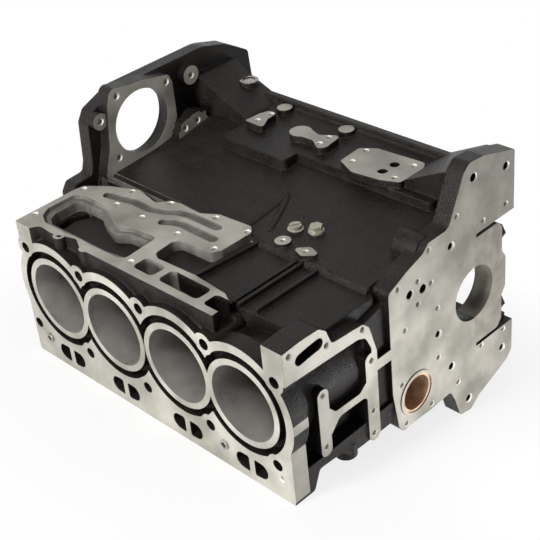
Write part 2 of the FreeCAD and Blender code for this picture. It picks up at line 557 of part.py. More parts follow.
def cut_cooler_face(casting):
    """Pocket over the water jacket, oil channels and windows of the oil cooler face."""
    top = "Sizes.cooler_height"
    pocket = [(-467, 31, 10), (-476, 46, 8), (-476, 88, 12), (-468, 97, 10), (-417, 97, 16), (-390, 84, 12),
              (-362, 72, 12), (-344, 82, 12), (-301, 85, 6), (-297, 31, 6), (-306, 25, 6), (-340, 24, 16),
              (-388, 24, 16), (-405, 22, 8), (-450, 22, 8)]
    casting.cut("CoolerPocket", "XY_Plane", top, -1, "6",
                outline([(x, below_deck(depth), radius) for x, depth, radius in pocket]))
    floor = [(-460, 38, 8), (-466, 50, 8), (-466, 84, 10), (-460, 90, 8), (-420, 90, 12), (-394, 76, 10),
             (-362, 64, 10), (-344, 75, 10), (-306, 78, 6), (-303, 36, 6), (-340, 31, 14), (-388, 31, 14),
             (-448, 30, 8)]
    casting.cut("PocketFloor", "XY_Plane", top, -1, "Sizes.cooler_pocket_depth",
                outline([(x, below_deck(depth), radius) for x, depth, radius in floor]))
    slots = slot([(-452, below_deck(46)), (-455, below_deck(66)), (-446, below_deck(84))], 13)
    slots += slot([(-318, below_deck(44)), (-321, below_deck(58)), (-318, below_deck(70))], 9)
    casting.cut("JacketSlots", "XY_Plane", top, -1, "Sizes.jacket_slot_depth", slots)
    windows = []
    for front, rear in ((-240, -276), (-160, -229)):
        windows += box(rear, front, below_deck(23), below_deck(48), 7)
    windows += outline([(x, below_deck(depth), radius) for x, depth, radius in (
        (-149, 22, 6), (-149, 45, 6), (-112, 45, 0), (-112, 22, 0))])
    casting.cut("RailWindows", "XY_Plane", top, -1, "Sizes.window_depth", windows)
    channels = slot([(x, below_deck(depth)) for x, depth in (
        (-437, 117), (-415, 121), (-392, 126), (-362, 126), (-340, 133), (-326, 142), (-308, 147), (-257, 147))],
        size["channel_width"])
    channels += slot([(x, below_deck(depth)) for x, depth in (
        (-323, 115), (-312, 122), (-298, 126), (-241, 125))], size["channel_width"])
    casting.cut("OilChannels", "XY_Plane", top, -1, "Sizes.channel_depth", channels)


def cut_jacket_side(casting):
    """Seats of the plugs and the two large holes of the bracket pad."""
    threads = []
    for x, depth in plug_places.values():
        threads += circle(x, below_deck(depth), size["plug_thread_radius"])
    casting.cut("PlugThreads", "XY_Plane", "Sizes.plug_boss_height", -1, "Sizes.plug_thread_length", threads)
    x, depth = core_plug_place
    casting.cut("CorePlugHole", "XY_Plane", "Sizes.core_plug_height", -1, "Sizes.core_plug_thickness",
                circle(x, below_deck(depth), size["core_plug_radius"]))
    pad_holes = circle(-139, below_deck(353), 6.5)
    pad_holes += outline([(x, below_deck(depth), 5) for x, depth in ((-148, 325), (-136, 325),
                                                                     (-133, 337), (-145, 337))])
    casting.cut("PadHoles", "XY_Plane", "Sizes.pad_height", -1, "18", pad_holes)


def cut_front_face(casting):
    """Flange slot, large screw holes and the seal slots beside the front cap."""
    slot_line = [(below_deck(26), 83), (below_deck(40), 85), (below_deck(55), 86)]
    casting.cut("FlangeSlot", "YZ_Plane", "0", -1, "Sizes.slot_flange_thickness - 8",
            slot(slot_line, 15))
    holes = []
    for depth, z, radius in ((333, 166, 5.5), (398, 152, 5), (322, -161, 5), (289, 92, 4.5), (262, -22, 4.5),
                             (287, -87, 5), (394, -121, 4.5), (235, 61, 6), (211, 65, 5.5)):
        holes += circle(below_deck(depth), z, radius)
    casting.cut("FrontHoles", "YZ_Plane", "0", -1, "18", holes)
    inner = size["cap_half_width"]
    slots = []
    for side in (-1, 1):
        edges = sorted((side * inner, side * (inner + size["seal_slot_width"])))
        slots += box(4, size["skirt_depth"] + 2, *edges)
    casting.cut("SealSlots", "YZ_Plane", "0", -1, "12", slots)


def block():
    """The cylinder block and crankcase, one iron casting."""
    casting = Casting()
    add_cylinder_section(casting)
    add_jacket_wall(casting)
    add_crankcase(casting)
    add_front_plate(casting)
    add_front_frame(casting)
    add_cooler_face(casting)
    add_platforms(casting)
    add_bosses(casting)
    add_gear_case(casting)
    add_case_bosses(casting)
    cut_cylinders(casting)
    cut_crankcase(casting)
    cut_gear_case(casting)
    cut_cooler_face(casting)
    cut_jacket_side(casting)
    cut_front_face(casting)
    casting.finish("block")


# --- bearing caps, bushes and plugs --------------------------------------------------------------


def main_cap(number, x):
    """Main bearing cap between its register walls, with seats for two bolts."""
    body = new_body(f"main_cap_{number}")
    half = size["cap_half_width"] - size["cap_clearance"]
    seat = size["cap_seat_height"]
    crown = size["cap_crown"]
    level = f"{x} + Sizes.web_thickness / 2"
    side = [(0, -half, 0), (0, half, 0), (seat - 8, half, 8), (seat, half - 10, 4), (seat, 34, 4),
            (crown, 22, 8), (crown, -22, 8), (seat, -34, 4), (seat, 10 - half, 4), (seat - 8, -half, 8)]
    extrude(body, "Pad", "Saddle", "YZ_Plane", level, -1, "Sizes.web_thickness", outline(side))
    extrude(body, "Pocket", "Bearing", "YZ_Plane", level, -1, "Sizes.web_thickness",
            circle(0, 0, main_radius))
    holes = []
    for direction in (-1, 1):
        holes += circle(x, direction * size["cap_bolt_spread"],
                        size["cap_bolt_radius"] + size["cap_bolt_clearance"])
    extrude(body, "Pocket", "BoltHoles", "XZ_Plane", "Sizes.cap_seat_height", -1,
            "Sizes.cap_seat_height", holes)


def cylinder(radius, height, place, axis):
    """Part cylinder bound to the sheet, standing on a place along an axis."""
    item = document.addObject("Part::Cylinder", "Cylinder")
    item.setExpression("Radius", f"({radius}) * 1 mm")
    item.setExpression("Height", f"({height}) * 1 mm")
    item.Placement = Placement(place, Rotation(Vector(0, 0, 1), axis))
    return item


def hexagon(across, height, place, axis):
    """Six-sided prism bound to the sheet, measured across its flats."""
    item = document.addObject("Part::Prism", "Hexagon")
    item.Polygon = 6
    item.setExpression("Circumradius", f"({across}) / sqrt(3) * 1 mm")
    item.setExpression("Height", f"({height}) * 1 mm")
    item.Placement = Placement(place, Rotation(Vector(0, 0, 1), axis))
    return item


def fuse(label, items):
    """One finished sub-part made of overlapping primitives."""
    joined = document.addObject("Part::MultiFuse", "Fusion")
    joined.Shapes = items
    lean_with_block(joined, label)


def cap_bolts(number, x):
    """Pair of hexagon bolts that hold one main bearing cap."""
    outward = Vector(0, 1, 0)
    seat = size["cap_seat_height"]
    items = []
    for side in (-1, 1):
        z = side * size["cap_bolt_spread"]
        items.append(cylinder("Sizes.cap_bolt_radius", "Sizes.cap_seat_height + Sizes.cap_thread_depth - 8",
                              Vector(x, seat, z), -outward))
        items.append(hexagon("Sizes.bolt_head_across", "Sizes.bolt_head_height",
                             Vector(x, seat, z), outward))
    fuse(f"cap_bolts_{number}", items)


def tube(label, outer, inner, length, place, axis):
    """Plain ring or bush bound to the sheet."""
    ring = document.addObject("Part::Cut", "Ring")
    ring.Base = cylinder(outer, length, place, axis)
    ring.Tool = cylinder(inner, length, place, axis)
    lean_with_block(ring, label)


def cam_bush():
    """Bronze camshaft bush pressed into the front web."""
    length = "Sizes.web_thickness"
    tube("cam_bush_1", "Sizes.cam_bush_bore / 2 + Sizes.cam_bush_wall", "Sizes.cam_bush_bore / 2", length,
         Vector(-size["web_thickness"], cam_y, -size["cam_offset"]), Vector(1, 0, 0))


def hex_plug():
    """Hexagon head plug with its round flange."""
    x, depth = plug_places["hex_plug"]
    place = Vector(x, below_deck(depth), size["plug_boss_height"])
    up = Vector(0, 0, 1)
    fuse("hex_plug", [
        cylinder("Sizes.plug_thread_radius", "Sizes.plug_thread_length", place, -up),
        cylinder("Sizes.plug_flange_radius", "Sizes.plug_flange_height", place, up),
        hexagon("Sizes.hex_plug_across", "Sizes.plug_flange_height + Sizes.hex_plug_height", place, up)])


def slotted_plug():
    """Round plug with a screwdriver slot."""
    x, depth = plug_places["slotted_plug"]
    place = Vector(x, below_deck(depth), size["plug_boss_height"])
    up = Vector(0, 0, 1)
    head = document.addObject("Part::MultiFuse", "PlugBlank")
    head.Shapes = [cylinder("Sizes.plug_thread_radius", "Sizes.plug_thread_length", place, -up),
                   cylinder("Sizes.slotted_plug_radius", "Sizes.slotted_plug_height", place, up)]
    blade = document.addObject("Part::Box", "PlugSlot")
    blade.setExpression("Length", "Sizes.slotted_plug_radius * 4 mm")
    blade.setExpression("Width", "Sizes.plug_slot_width * 1 mm")
    blade.setExpression("Height", "Sizes.plug_slot_depth * 2 mm")
    turn = Rotation(up, 60)
    corner = Vector(-2 * size["slotted_plug_radius"], -size["plug_slot_width"] / 2,
                    size["slotted_plug_height"] - size["plug_slot_depth"])
    blade.Placement = Placement(place + turn.multVec(corner), turn)
    plug = document.addObject("Part::Cut", "SlottedPlug")
    plug.Base = head
    plug.Tool = blade
    lean_with_block(plug, "slotted_plug")


def core_plug():
    """Steel disc that closes a core hole in the rail, a little below its rim."""
    x, depth = core_plug_place
    floor = Vector(x, below_deck(depth), size["core_plug_height"] - size["core_plug_thickness"])
    plug = cylinder("Sizes.core_plug_radius", "Sizes.core_plug_thickness - Sizes.core_plug_recess",
                    floor, Vector(0, 0, 1))
    fuse_single = document.addObject("Part::MultiFuse", "CorePlug")
    fuse_single.Shapes = [plug, cylinder("Sizes.core_plug_radius - 3", "Sizes.core_plug_recess",
                                         floor, Vector(0, 0, 1))]
    lean_with_block(fuse_single, "core_plug")


block()
hex_plug()
core_plug()
slotted_plug()
cam_bush()
for number, x in enumerate(web_x, start=1):
    main_cap(number, x)
    cap_bolts(number, x)
for number, (x, z) in enumerate(dowel_places, start=1):
    depth = size["dowel_length"] - size["dowel_standing"]
    tube(f"deck_dowel_{number}", "Sizes.dowel_radius", "Sizes.dowel_bore", "Sizes.dowel_length",
         Vector(x, below_deck(depth), z), Vector(0, -1, 0))

document.recompute()

# --- checks and files ----------------------------------------------------------------------------

for item in document.Objects:
    if "Invalid" in item.State or "Error" in item.State:
        raise RuntimeError(f"{item.Name} ({item.Label}) failed: {item.State} {item.getStatusString()}")
    if item.TypeId == "PartDesign::Pocket":
        if item.BaseFeature.Shape.Volume - item.Shape.Volume < 1:
            raise RuntimeError(f"{item.Name} removes nothing")

os.makedirs("parts", exist_ok=True)
for node in nodes:
    if node.Shape.isNull() or not node.Shape.isValid():
        raise RuntimeError(f"{node.Label} has no valid shape")
for node in nodes:
    node.Shape.exportStep(f"parts/{node.Label}.step")
    print(f"{node.Label}: {len(node.Shape.Solids)} solid(s), {node.Shape.Volume / 1000:.1f} cm3")
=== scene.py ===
"""Dressed engine block: iron finishes on the casting, its caps, bolts, bush and plugs.

Every mesh is in metres in the row frame. The block leans about the crankshaft axis, so its
faces and its tool marks are described in engine axes: X along the crankshaft to the front
end, Y from the head deck to the oil pan, and Z across the block to the oil cooler side.
"""

from __future__ import annotations

import json
import logging
import math
from dataclasses import dataclass
from enum import Enum
from typing import Any, Iterable

import bmesh
import bpy
from mathutils import Matrix, Quaternion, Vector
from mathutils.bvhtree import BVHTree

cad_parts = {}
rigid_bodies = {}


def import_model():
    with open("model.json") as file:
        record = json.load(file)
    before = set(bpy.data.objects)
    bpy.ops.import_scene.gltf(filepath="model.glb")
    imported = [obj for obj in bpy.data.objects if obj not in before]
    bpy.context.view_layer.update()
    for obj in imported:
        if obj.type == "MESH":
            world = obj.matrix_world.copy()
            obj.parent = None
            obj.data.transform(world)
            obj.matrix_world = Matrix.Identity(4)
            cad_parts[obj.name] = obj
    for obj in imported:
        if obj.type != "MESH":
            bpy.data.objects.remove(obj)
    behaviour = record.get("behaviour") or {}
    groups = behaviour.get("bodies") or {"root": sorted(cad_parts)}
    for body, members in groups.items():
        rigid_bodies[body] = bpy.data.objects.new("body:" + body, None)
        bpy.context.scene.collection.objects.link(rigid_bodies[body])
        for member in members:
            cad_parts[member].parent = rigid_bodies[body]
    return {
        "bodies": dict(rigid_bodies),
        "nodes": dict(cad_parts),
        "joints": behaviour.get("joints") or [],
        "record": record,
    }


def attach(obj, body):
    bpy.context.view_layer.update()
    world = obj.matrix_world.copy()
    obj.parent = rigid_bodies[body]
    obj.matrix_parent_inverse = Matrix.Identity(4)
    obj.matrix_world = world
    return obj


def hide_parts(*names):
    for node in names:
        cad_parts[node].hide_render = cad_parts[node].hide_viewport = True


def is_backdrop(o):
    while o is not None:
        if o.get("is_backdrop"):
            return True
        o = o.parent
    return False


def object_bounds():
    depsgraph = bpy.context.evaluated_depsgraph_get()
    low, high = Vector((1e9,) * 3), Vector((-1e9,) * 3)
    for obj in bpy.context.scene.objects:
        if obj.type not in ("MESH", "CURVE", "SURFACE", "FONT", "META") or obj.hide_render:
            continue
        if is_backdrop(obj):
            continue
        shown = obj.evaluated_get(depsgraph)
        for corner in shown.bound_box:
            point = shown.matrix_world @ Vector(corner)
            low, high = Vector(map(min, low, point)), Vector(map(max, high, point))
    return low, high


LOG = logging.getLogger("engine_block")
LEAN = math.radians(11.6)
MM = 0.001

# heights of two machined faces and directions that faces look, in engine axes
DECK_Y = -334.0
COOLER_Z = 96.0
UP = (0, 0, 1)
FORWARD = (1, 0, 0)
TO_DECK = (0, -1, 0)

# shares of a noise between which a finish goes from dark to light, and from shiny to dull
TONE_RANGE = (0.35, 0.65)
SHEEN_RANGE = (0.3, 0.7)
EDGE_SAMPLES = 6
# metres between the lines of a wave texture at scale 1
WAVE_PERIOD = 0.31

# edges that turn by more than this stay sharp
CRISP_ANGLE = math.radians(30)
# a face looks along an axis above the first share of its normal, and across it below the second
ALONG = 0.999
ACROSS = 0.05
# the same for the shallow cones of turned shapes
MOSTLY_ALONG = 0.9
# points of turned shapes that lie closer than this, in millimetres, are one
MERGE_MM = 0.001


def millimetres(value: float) -> float:
    """Length in metres of a length in millimetres."""
    return value * MM


def linear(colour: str) -> tuple[float, float, float, float]:
    """Turn an sRGB hex colour into a linear one.

    Args:
        colour: Six hex digits, such as "8a8780".

    Returns:
        Red, green, blue and alpha, from 0 to 1.
    """
    channels = []
    for start in (0, 2, 4):
        value = int(colour[start : start + 2], 16) / 255
        channels.append(value / 12.92 if value <= 0.04045 else ((value + 0.055) / 1.055) ** 2.4)
    return channels[0], channels[1], channels[2], 1.0


def to_engine_axes() -> Matrix:
    """Rotation from the row frame to the engine's own axes."""
    return Matrix.Rotation(-LEAN, 4, "X")


def to_row_frame() -> Matrix:
    """Placement in the row frame, in metres, of millimetres in engine axes."""
    return to_engine_axes().inverted() @ Matrix.Scale(MM, 4)


def below_deck(depth: float) -> float:
    """Engine Y of a depth below the head deck, in millimetres."""
    return DECK_Y + depth


# --- finishes --------------------------------------------------------------------------------


def add_node(
    tree: bpy.types.NodeTree,
    kind: str,
    inputs: dict[str | int, Any] | None = None,
    **settings: Any,
) -> bpy.types.Node:
    """Add a node with its settings, values and links.

    Args:
        tree: The material's node tree.
        kind: Blender's name for the node's type.
        inputs: Sockets to set, each with a value or with the socket that feeds it.
        settings: Properties of the node itself.

    Returns:
        The new node.
    """
    node = tree.nodes.new(kind)
    for name, value in settings.items():
        setattr(node, name, value)
    for name, value in (inputs or {}).items():
        if isinstance(value, bpy.types.NodeSocket):
            tree.links.new(value, node.inputs[name])
        else:
            node.inputs[name].default_value = value
    return node


@dataclass(frozen=True)
class Finish:
    """A material of one kind of metal or paint, with its grain.

    Attributes:
        name: Name of the material.
        light: Its lighter tone, as six hex digits.
        dark: Its darker tone.
        metallic: How far it shines as bare metal does, from 0 to 1.
        roughness: Least and greatest roughness, which follow the blotches.
        grain_mm: Size of the fine grain.
        grain_height_mm: Relief of that grain.
        blotch_mm: Size of the broad blotches.
        edge_mm: Radius to which edges look rounded.
        specular: Strength of the highlight.
        grain_glint_share: Share of the colour that follows the grain and not the blotches; on the
            painted iron that grain colour is mostly painted glint.
        mark_height_mm: Relief of the tool marks, where there are any.
        mark_strength: How strongly those marks show.
    """

    name: str
    light: str
    dark: str
    metallic: float
    roughness: tuple[float, float]
    grain_mm: float
    grain_height_mm: float
    blotch_mm: float
    edge_mm: float
    specular: float = 0.5
    grain_glint_share: float = 0.1
    mark_height_mm: float = 0.02
    mark_strength: float = 0.4

    def coordinates(self, tree: bpy.types.NodeTree) -> bpy.types.NodeSocket:
        """Object coordinates turned into engine axes."""
        place = add_node(tree, "ShaderNodeTexCoord")
        turned = add_node(
            tree,
            "ShaderNodeMapping",
            {"Vector": place.outputs["Object"], "Rotation": (-LEAN, 0.0, 0.0)},
        )
        return turned.outputs["Vector"]

    def marks(
        self, tree: bpy.types.NodeTree, place: bpy.types.NodeSocket
    ) -> bpy.types.NodeSocket | None:
        """Height of tool marks from 0 to 1, or None on a finish that has none."""
        return None

    def paint_shade(
        self,
        tree: bpy.types.NodeTree,
        place: bpy.types.NodeSocket,
        colour: bpy.types.NodeSocket,
    ) -> bpy.types.NodeSocket:
        """Colour with painted shade added, which is none on most finishes."""
        return colour

    def build(self) -> bpy.types.Material:
        """Make the material.

        Returns:
            The material, with colour, roughness and relief from its own grain.
        """
        material = bpy.data.materials.new(self.name)
        material.use_nodes = True
        tree = material.node_tree
        shader = tree.nodes["Principled BSDF"]
        place = self.coordinates(tree)
        blotch = add_node(
            tree,
            "ShaderNodeTexNoise",
            {"Vector": place, "Scale": 1 / millimetres(self.blotch_mm), "Detail": 4.0},
        ).outputs["Fac"]
        grain = add_node(
            tree,
            "ShaderNodeTexNoise",
            {"Vector": place, "Scale": 1 / millimetres(self.grain_mm), "Detail": 2.0},
        ).outputs["Fac"]
        # the grain's share of this colour is random grain tone, and on the painted iron mostly
        # painted glint on the grain tops
        shade = add_node(
            tree, "ShaderNodeMix", {"Factor": self.grain_glint_share, "A": blotch, "B": grain}
        )
        colour = add_node(tree, "ShaderNodeValToRGB", {"Fac": shade.outputs["Result"]})
        tones = (self.dark, self.light)
        for element, share, tone in zip(colour.color_ramp.elements, TONE_RANGE, tones):
            element.position = share
            element.color = linear(tone)
        # painted shade, on the finishes that have it
        with_shade = self.paint_shade(tree, place, colour.outputs["Color"])
        tree.links.new(with_shade, shader.inputs["Base Color"])
        sheen = add_node(
            tree,
            "ShaderNodeMapRange",
            {
                "Value": blotch,
                "From Min": SHEEN_RANGE[0],
                "From Max": SHEEN_RANGE[1],
                "To Min": self.roughness[0],
                "To Max": self.roughness[1],
            },
        )
        tree.links.new(sheen.outputs["Result"], shader.inputs["Roughness"])
        shader.inputs["Metallic"].default_value = self.metallic
        shader.inputs["Specular IOR Level"].default_value = self.specular
        rounded = add_node(
            tree,
            "ShaderNodeBevel",
            {"Radius": millimetres(self.edge_mm)},
            samples=EDGE_SAMPLES,
        )
        relief = add_node(
            tree,
            "ShaderNodeBump",
            {
                "Height": grain,
                "Distance": millimetres(self.grain_height_mm),
                "Strength": 1.0,
                "Normal": rounded.outputs["Normal"],
            },
        )
        lines = self.marks(tree, place)
        if lines is not None:
            relief = add_node(
                tree,
                "ShaderNodeBump",
                {
                    "Height": lines,
                    "Distance": millimetres(self.mark_height_mm),
                    "Strength": self.mark_strength,
                    "Normal": relief.outputs["Normal"],
                },
            )
        tree.links.new(relief.outputs["Normal"], shader.inputs["Normal"])
        return material


@dataclass(frozen=True)
class MilledFinish(Finish):
    """Iron that a wide face mill has passed over, which leaves faint concentric arcs."""

    feed_mm: float = 2.2
    cutter_mm: float = 180.0

    def marks(
        self, tree: bpy.types.NodeTree, place: bpy.types.NodeSocket
    ) -> bpy.types.NodeSocket | None:
        """Arcs of the face mill; their real spacing of 0.4 mm is drawn coarser, to show."""
        moved = add_node(
            tree,
            "ShaderNodeMapping",
            {"Vector": place, "Location": (0.0, 0.0, millimetres(self.cutter_mm))},
        )
        arcs = add_node(
            tree,
            "ShaderNodeTexWave",
            {
                "Vector": moved.outputs["Vector"],
                "Scale": WAVE_PERIOD / millimetres(self.feed_mm),
                "Distortion": 1.2,
                "Detail": 2.0,
            },
            wave_type="RINGS",
            rings_direction="SPHERICAL",
        )
        return arcs.outputs["Fac"]


@dataclass(frozen=True)
class HonedFinish(Finish):
    """Bored iron with the crossed scratches that a hone leaves, and painted shade deeper in."""

    scratch_mm: float = 1.6
    slant: float = 0.6
    # painted shade: the bore darkens from its mouth at the deck, over the given depth, to the
    # given dark colour
    mouth_mm: float = DECK_Y
    shade_depth_mm: float = 85.0
    bore_shade: str = "1f1d1b"

    def paint_shade(
        self,
        tree: bpy.types.NodeTree,
        place: bpy.types.NodeSocket,
        colour: bpy.types.NodeSocket,
    ) -> bpy.types.NodeSocket:
        """Painted shade that darkens the bore from its mouth inward, where less light reaches.

        Args:
            tree: The material's node tree.
            place: Engine axes.
            colour: The bare iron's colour.

        Returns:
            The iron's colour with the painted shade.
        """
        axes = add_node(tree, "ShaderNodeSeparateXYZ", {"Vector": place})
        deepening = add_node(
            tree,
            "ShaderNodeMapRange",
            {
                "Value": axes.outputs["Y"],
                "From Min": millimetres(self.mouth_mm),
                "From Max": millimetres(self.mouth_mm + self.shade_depth_mm),
            },
            interpolation_type="SMOOTHSTEP",
        )
        shaded_bore = add_node(
            tree,
            "ShaderNodeMixRGB",
            {"Fac": deepening.outputs["Result"], "Color1": colour, "Color2": linear(self.bore_shade)},
        )
        return shaded_bore.outputs["Color"]

    def marks(
        self, tree: bpy.types.NodeTree, place: bpy.types.NodeSocket
    ) -> bpy.types.NodeSocket | None:
        """Two sets of slanted scratches; their real spacing of 0.1 mm is drawn coarser."""
        heights = []
        for slant in (self.slant, -self.slant):
            turned = add_node(
                tree, "ShaderNodeMapping", {"Vector": place, "Rotation": (0.0, slant, slant)}
            )
            lines = add_node(
                tree,
                "ShaderNodeTexWave",
                {
                    "Vector": turned.outputs["Vector"],
                    "Scale": WAVE_PERIOD / millimetres(self.scratch_mm),
                },
                bands_direction="Y",
            )
            heights.append(lines.outputs["Fac"])
        both = add_node(
            tree, "ShaderNodeMath", {0: heights[0], 1: heights[1]}, operation="MAXIMUM"
        )
        return both.outputs["Value"]


class Metal(Enum):
    """The finishes that the engine block's pieces take."""

    # sand cast grey iron under a thin black paint: broad soft shine broken by the sand grain, with
    # painted glints in its colour where grain tops would catch light
    PAINTED_IRON = Finish(
        "black_painted_cast_iron",
        "2a2623",
        "040404",
        0.0,
        (0.27, 0.38),
        1.7,
        0.9,
        20.0,
        3.0,
        specular=0.15,
        # a large share of painted glint: light grain tops stand in for light catching on the sand
        # grain
        grain_glint_share=0.75,
    )
    # face milled grey iron: even warm grey with faint cutter arcs
    MILLED_IRON = MilledFinish(
        "face_milled_grey_iron", "b0aca3", "828076", 0.3, (0.4, 0.55), 0.9, 0.02, 60.0, 0.8, 0.4
    )
    # honed grey iron: shinier than the milled faces, with painted shade that darkens it further in
    HONED_IRON = HonedFinish(
        "honed_grey_iron", "a5a29c", "8a8782", 0.35, (0.26, 0.36), 0.9, 0.01, 40.0, 0.4
    )
    # grey iron as cast, without paint: rough and evenly dull
    BARE_CAST_IRON = Finish(
        "bare_cast_iron", "7d7973", "5c5954", 0.2, (0.5, 0.65), 2.2, 0.4, 24.0, 2.0, 0.4
    )
    # drilled and countersunk bare iron, drawn lighter than the milled faces: a painted highlight
    # for rims that catch light, which also lights the holes' insides
    DRILLED_IRON = Finish(
        "drilled_iron_painted_highlight", "dedad2", "c4c0b8", 0.2, (0.35, 0.5), 0.9, 0.02, 20.0, 0.3, 0.5
    )
    # sawn and bored cap iron: a little browner and duller than the milled faces
    CAP_IRON = Finish(
        "machined_cap_iron", "a09b91", "837e74", 0.35, (0.4, 0.55), 1.2, 0.04, 18.0, 0.8, 0.4
    )
    # black oxide steel: dark, thin oily shine
    BOLT_STEEL = Finish(
        "black_oxide_bolt_steel", "2a2927", "1b1a19", 0.6, (0.34, 0.48), 0.8, 0.02, 9.0, 0.6
    )
    # leaded bronze, turned: warm tan against the grey iron round it
    BRONZE = Finish(
        "turned_bearing_bronze", "e0c3a6", "c09c7e", 0.3, (0.3, 0.42), 0.8, 0.01, 14.0, 0.4
    )
    # bare steel, ground: the brightest metal, with sharp highlights
    BARE_STEEL = Finish(
        "ground_steel", "b0aea9", "8e8c88", 0.8, (0.26, 0.36), 0.8, 0.01, 8.0, 0.4
    )
    # yellow zinc plate: bright with a faint warm tint
    ZINC = Finish(
        "yellow_zinc_plate", "aaa695", "908b7c", 0.6, (0.28, 0.38), 2.0, 0.004, 12.0, 0.5
    )


class FinishShop:
    """Makes each finish once and hands it out."""

    def __init__(self) -> None:
        """Start with no material made."""
        self.made: dict[Metal, bpy.types.Material] = {}

    def material(self, metal: Metal) -> bpy.types.Material:
        """Material of a finish, made on first use."""
        if metal not in self.made:
            self.made[metal] = metal.value.build()
        return self.made[metal]

    def dress(self, piece: bpy.types.Object, metal: Metal) -> None:
        """Give a whole piece one finish.

        Args:
            piece: The mesh object, a CAD node's or a new one.
            metal: Its finish.
        """
        piece.data.materials.clear()
        piece.data.materials.append(self.material(metal))


# --- the casting -----------------------------------------------------------------------------


CASTING_METALS = (
    Metal.PAINTED_IRON,
    Metal.MILLED_IRON,
    Metal.HONED_IRON,
    Metal.BARE_CAST_IRON,
    Metal.DRILLED_IRON,
)


def keep_edges_crisp(mesh: bpy.types.Mesh) -> None:
    """Shade a mesh smoothly, apart from its sharp edges.

    Args:
        mesh: The mesh to set.
    """
    work = bmesh.new()
    work.from_mesh(mesh)
    for face in work.faces:
        face.smooth = True
    for edge in work.edges:
        edge.smooth = edge.is_manifold and edge.calc_face_angle(0.0) < CRISP_ANGLE
    work.to_mesh(mesh)
    work.free()


def make_piece(
    name: str, work: bmesh.types.BMesh, metals: tuple[Metal, ...], shop: FinishShop
) -> bpy.types.Object:
    """Turn a working mesh into a linked object, and free the working mesh.

    Args:
        name: Name of the object and of its mesh.
        work: The mesh, in metres in the row frame.
        metals: What the material numbers of its faces stand for.
        shop: Where the materials come from.

    Returns:
        The object.
    """
    mesh = bpy.data.meshes.new(name)
    work.to_mesh(mesh)
    work.free()
    for metal in metals:
        mesh.materials.append(shop.material(metal))
    piece = bpy.data.objects.new(name, mesh)
    bpy.context.scene.collection.objects.link(piece)
    return piece


def add_to_casting(piece: bpy.types.Object) -> None:
    """Let a separate detail of the casting ride as the casting does, with crisp edges."""
    keep_edges_crisp(piece.data)
    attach(piece, "root")


def spin_profile(work: bmesh.types.BMesh, profile: list[Vector], steps: int) -> None:
    """Turn a half section about Z.

    Args:
        work: The mesh that gets the turned surface.
        profile: Points of the half section, in order.
        steps: Sides of the turned shape.
    """
    verts = [work.verts.new(point) for point in profile]
    edges = [work.edges.new(pair) for pair in zip(verts, verts[1:])]
    bmesh.ops.spin(
        work,
        geom=verts + edges,
        cent=(0, 0, 0),
        axis=UP,
        angle=math.tau,
        steps=steps,
        use_merge=True,
    )


Places = tuple[tuple[float, float, float], ...]


def across_top(z: float, *places: tuple[float, float]) -> Places:
    """Places on a face that looks up, each given by its X and its depth below the deck."""
    return tuple((x, below_deck(depth), z) for x, depth in places)


def across_end(x: float, *places: tuple[float, float]) -> Places:
    """Places on a face that looks forward, each given by its depth below the deck and its Z."""
    return tuple((x, below_deck(depth), z) for depth, z in places)


@dataclass(frozen=True)
class HoleGroup:
    """Tapped blind holes of one size in one machined face, in millimetres in engine axes."""

    facing: tuple[float, float, float]
    places: Places
    radius: float = 3.4
    depth: float = 15.0
    countersink: float = 1.1
    above: float = 1.0
    point: float = 0.6
    sides: int = 24

    def profile(self) -> list[Vector]:
        """Half section of the drill, from above the face down to its point."""
        wide = self.radius + self.countersink
        return [
            Vector((0.0, 0.0, self.above)),
            Vector((wide, 0.0, self.above)),
            Vector((wide, 0.0, 0.0)),
            Vector((self.radius, 0.0, -self.countersink)),
            Vector((self.radius, 0.0, -self.depth)),
            Vector((0.0, 0.0, -self.depth - self.point * self.radius)),
        ]

    def add_to(self, work: bmesh.types.BMesh) -> None:
        """Add one drill for each hole.

        Args:
            work: The mesh that gathers the drills, in millimetres in engine axes.
        """
        turn = Vector(UP).rotation_difference(Vector(self.facing)).to_matrix().to_4x4()
        for place in self.places:
            spin_profile(work, self.profile(), self.sides)
            new = [vert for vert in work.verts if not vert.tag]
            bmesh.ops.transform(work, matrix=Matrix.Translation(place) @ turn, verts=new)
            for vert in new:
                vert.tag = True


